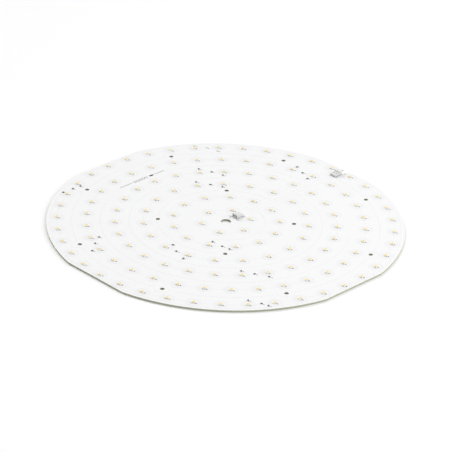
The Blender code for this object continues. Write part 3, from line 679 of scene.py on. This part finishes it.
def tinned_strip():
    """Copper alloy strip, tin-plated before it is stamped and folded: satin grey, with fine rolling
    lines along X."""
    finish, tree, shader = new_finish("tin_plated_copper_strip")
    place = add_node(tree, "ShaderNodeTexCoord").outputs["Object"]
    roll = (1 / TIN_ROLL_LENGTH, 1 / TIN_ROLL, 1 / TIN_ROLL)
    rolled = add_node(tree, "ShaderNodeMapping", {"Vector": place, "Scale": roll})
    lines = add_node(tree, "ShaderNodeTexNoise", {
        "Vector": rolled.outputs["Vector"], "Scale": 1.0})
    colour = add_node(tree, "ShaderNodeMixRGB", {
        "Fac": lines.outputs["Fac"],
        "Color1": linear(TIN_PLATE), "Color2": linear(TIN_BRIGHT)})
    rough = add_node(tree, "ShaderNodeMapRange", {
        "Value": lines.outputs["Fac"], "To Min": TIN_ROUGH, "To Max": TIN_SMOOTH})
    tree.links.new(colour.outputs["Color"], shader.inputs["Base Color"])
    tree.links.new(rough.outputs["Result"], shader.inputs["Roughness"])
    shader.inputs["Metallic"].default_value = 1.0
    return finish


NYLON_FINISH, STRIP_FINISH = moulded_nylon(), tinned_strip()
TAIL_FINISH = reflowed_solder("tin_solder_at_the_tails", TAIL_GREY, TAIL_BRIGHT)
pool = cut_rectangle(TAIL_PAD_WIDTH, TAIL_PAD_LENGTH, TAIL_PAD_CORNER, TAIL_SOLDER_PROFILE)
for place, entry in TERMINAL_ENTRY_SIDES:
    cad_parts[f"{place}_terminal_housing"].material_slots[0].material = NYLON_FINISH
    pools = []
    for pole in TERMINAL_POLES:
        node = f"{place}_terminal_contact_{pole}"
        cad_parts[node].material_slots[0].material = STRIP_FINISH
        low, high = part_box(node)
        side = 1 if high.y + low.y > 0 else -1
        tail_x = (low.x if entry < 0 else high.x) - entry * TAIL_PAD_WIDTH / 2
        tail_y = (high.y if side > 0 else low.y) - side * TAIL_PAD_LENGTH / 2
        pools.append(set_down(pool, tail_x, tail_y, 0.0))
    stacked(f"{place}_terminal_solder", pools, TAIL_FINISH)
    # Painted shadow: a thin black ink line along each long side of the housing, for the shade at
    # its foot.
    low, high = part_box(f"{place}_terminal_housing")
    line = cut_rectangle(high.x - low.x, SHADOW_LINE_WIDTH, SHADOW_LINE_CORNER, SHADOW_LINE_PROFILE)
    beside = np.array([low.y - SHADOW_LINE_OFF, high.y + SHADOW_LINE_OFF])
    outline = set_down(line, (low.x + high.x) / 2, beside, 0.0)
    stacked(f"{place}_terminal_painted_shadow", [outline], INK_FINISH)

# The studio: a pale seamless floor in a white room that is brighter between +X and -Y. A far, low
# lamp behind the board throws the small parts' shadows towards the viewer, and a softbox fills from
# the bright side. The lens is long and looks down from the corner between -X and -Y.
FLOOR_WHITE = "#F6F6F6"
FLOOR_ROUGHNESS = 0.9
FLOOR_HALF = 4.0
ROOM_LIGHT = 0.675
ROOM_BRIGHT_SIDE = (0.7, -0.72, 0.0)
ROOM_SLOPE = 0.6
KEY_LIGHT = 1.65
KEY_FROM = Vector((0.22, 0.97, 0.65))
KEY_WIDTH = math.radians(28)
FILL_LIGHT = 5.5
FILL_FROM = Vector((0.60, -0.62, 0.55))
FILL_AWAY = 1.25
FILL_SIZE = 0.9
PICTURE_SIZE = 452
LENS_PIXELS = 2465.51
FILM_WIDTH = 36.0
VIEW_DEPTH = 10.0
LOOK_AT = Vector((-5.697 * MM, -5.895 * MM, 1.6 * MM))
LOOK_DISTANCE = 2055.37 * MM
LOOK_AZIMUTH, LOOK_DOWN, LOOK_ROLL = 45.4561, 27.7435, 2.2658

scene = bpy.context.scene
scene.view_settings.view_transform = "Standard"
corners = [(x * FLOOR_HALF, y * FLOOR_HALF, 0) for x, y in ((-1, -1), (1, -1), (1, 1), (-1, 1))]
floor_mesh = bpy.data.meshes.new("studio_floor")
floor_mesh.from_pydata(corners, [], [(0, 1, 2, 3)])
floor_finish, _, floor_shader = new_finish("matt_background_paper")
floor_shader.inputs["Base Color"].default_value = linear(FLOOR_WHITE)
floor_shader.inputs["Roughness"].default_value = FLOOR_ROUGHNESS
floor_mesh.materials.append(floor_finish)
floor = bpy.data.objects.new("studio_floor", floor_mesh)
scene.collection.objects.link(floor)

room = bpy.data.worlds.new("white_room")
room.use_nodes = True
sky = room.node_tree.nodes["Background"]
sky.inputs["Color"].default_value = (1, 1, 1, 1)
looking = add_node(room.node_tree, "ShaderNodeTexCoord").outputs["Generated"]
towards = add_node(
    room.node_tree, "ShaderNodeVectorMath", {0: looking, 1: ROOM_BRIGHT_SIDE},
    operation="DOT_PRODUCT")
glow = add_node(room.node_tree, "ShaderNodeMapRange", {
    "Value": towards.outputs["Value"], "From Min": -1.0, "From Max": 1.0,
    "To Min": ROOM_LIGHT * (1 - ROOM_SLOPE), "To Max": ROOM_LIGHT * (1 + ROOM_SLOPE)})
room.node_tree.links.new(glow.outputs["Result"], sky.inputs["Strength"])
scene.world = room
key = bpy.data.objects.new("low_softbox", bpy.data.lights.new("low_softbox", "SUN"))
key.data.energy = KEY_LIGHT
key.data.angle = KEY_WIDTH
key.rotation_euler = KEY_FROM.to_track_quat("Z", "Y").to_euler()
scene.collection.objects.link(key)
fill = bpy.data.objects.new("side_softbox", bpy.data.lights.new("side_softbox", "AREA"))
fill.data.energy = FILL_LIGHT
fill.data.size = FILL_SIZE
fill.location = FILL_AWAY * FILL_FROM.normalized()
fill.rotation_euler = FILL_FROM.to_track_quat("Z", "Y").to_euler()
scene.collection.objects.link(fill)

camera = bpy.data.objects.new("camera", bpy.data.cameras.new("camera"))
camera.data.sensor_width = FILM_WIDTH
camera.data.lens = FILM_WIDTH * LENS_PIXELS / PICTURE_SIZE
camera.data.clip_end = VIEW_DEPTH
turned = (Matrix.Rotation(math.radians(-LOOK_AZIMUTH), 4, "Z")
          @ Matrix.Rotation(math.radians(90 - LOOK_DOWN), 4, "X")
          @ Matrix.Rotation(math.radians(LOOK_ROLL), 4, "Z"))
backwards = turned.to_3x3() @ Vector((0, 0, 1))
camera.matrix_world = Matrix.Translation(LOOK_AT + LOOK_DISTANCE * backwards) @ turned
scene.collection.objects.link(camera)
scene.camera = camera
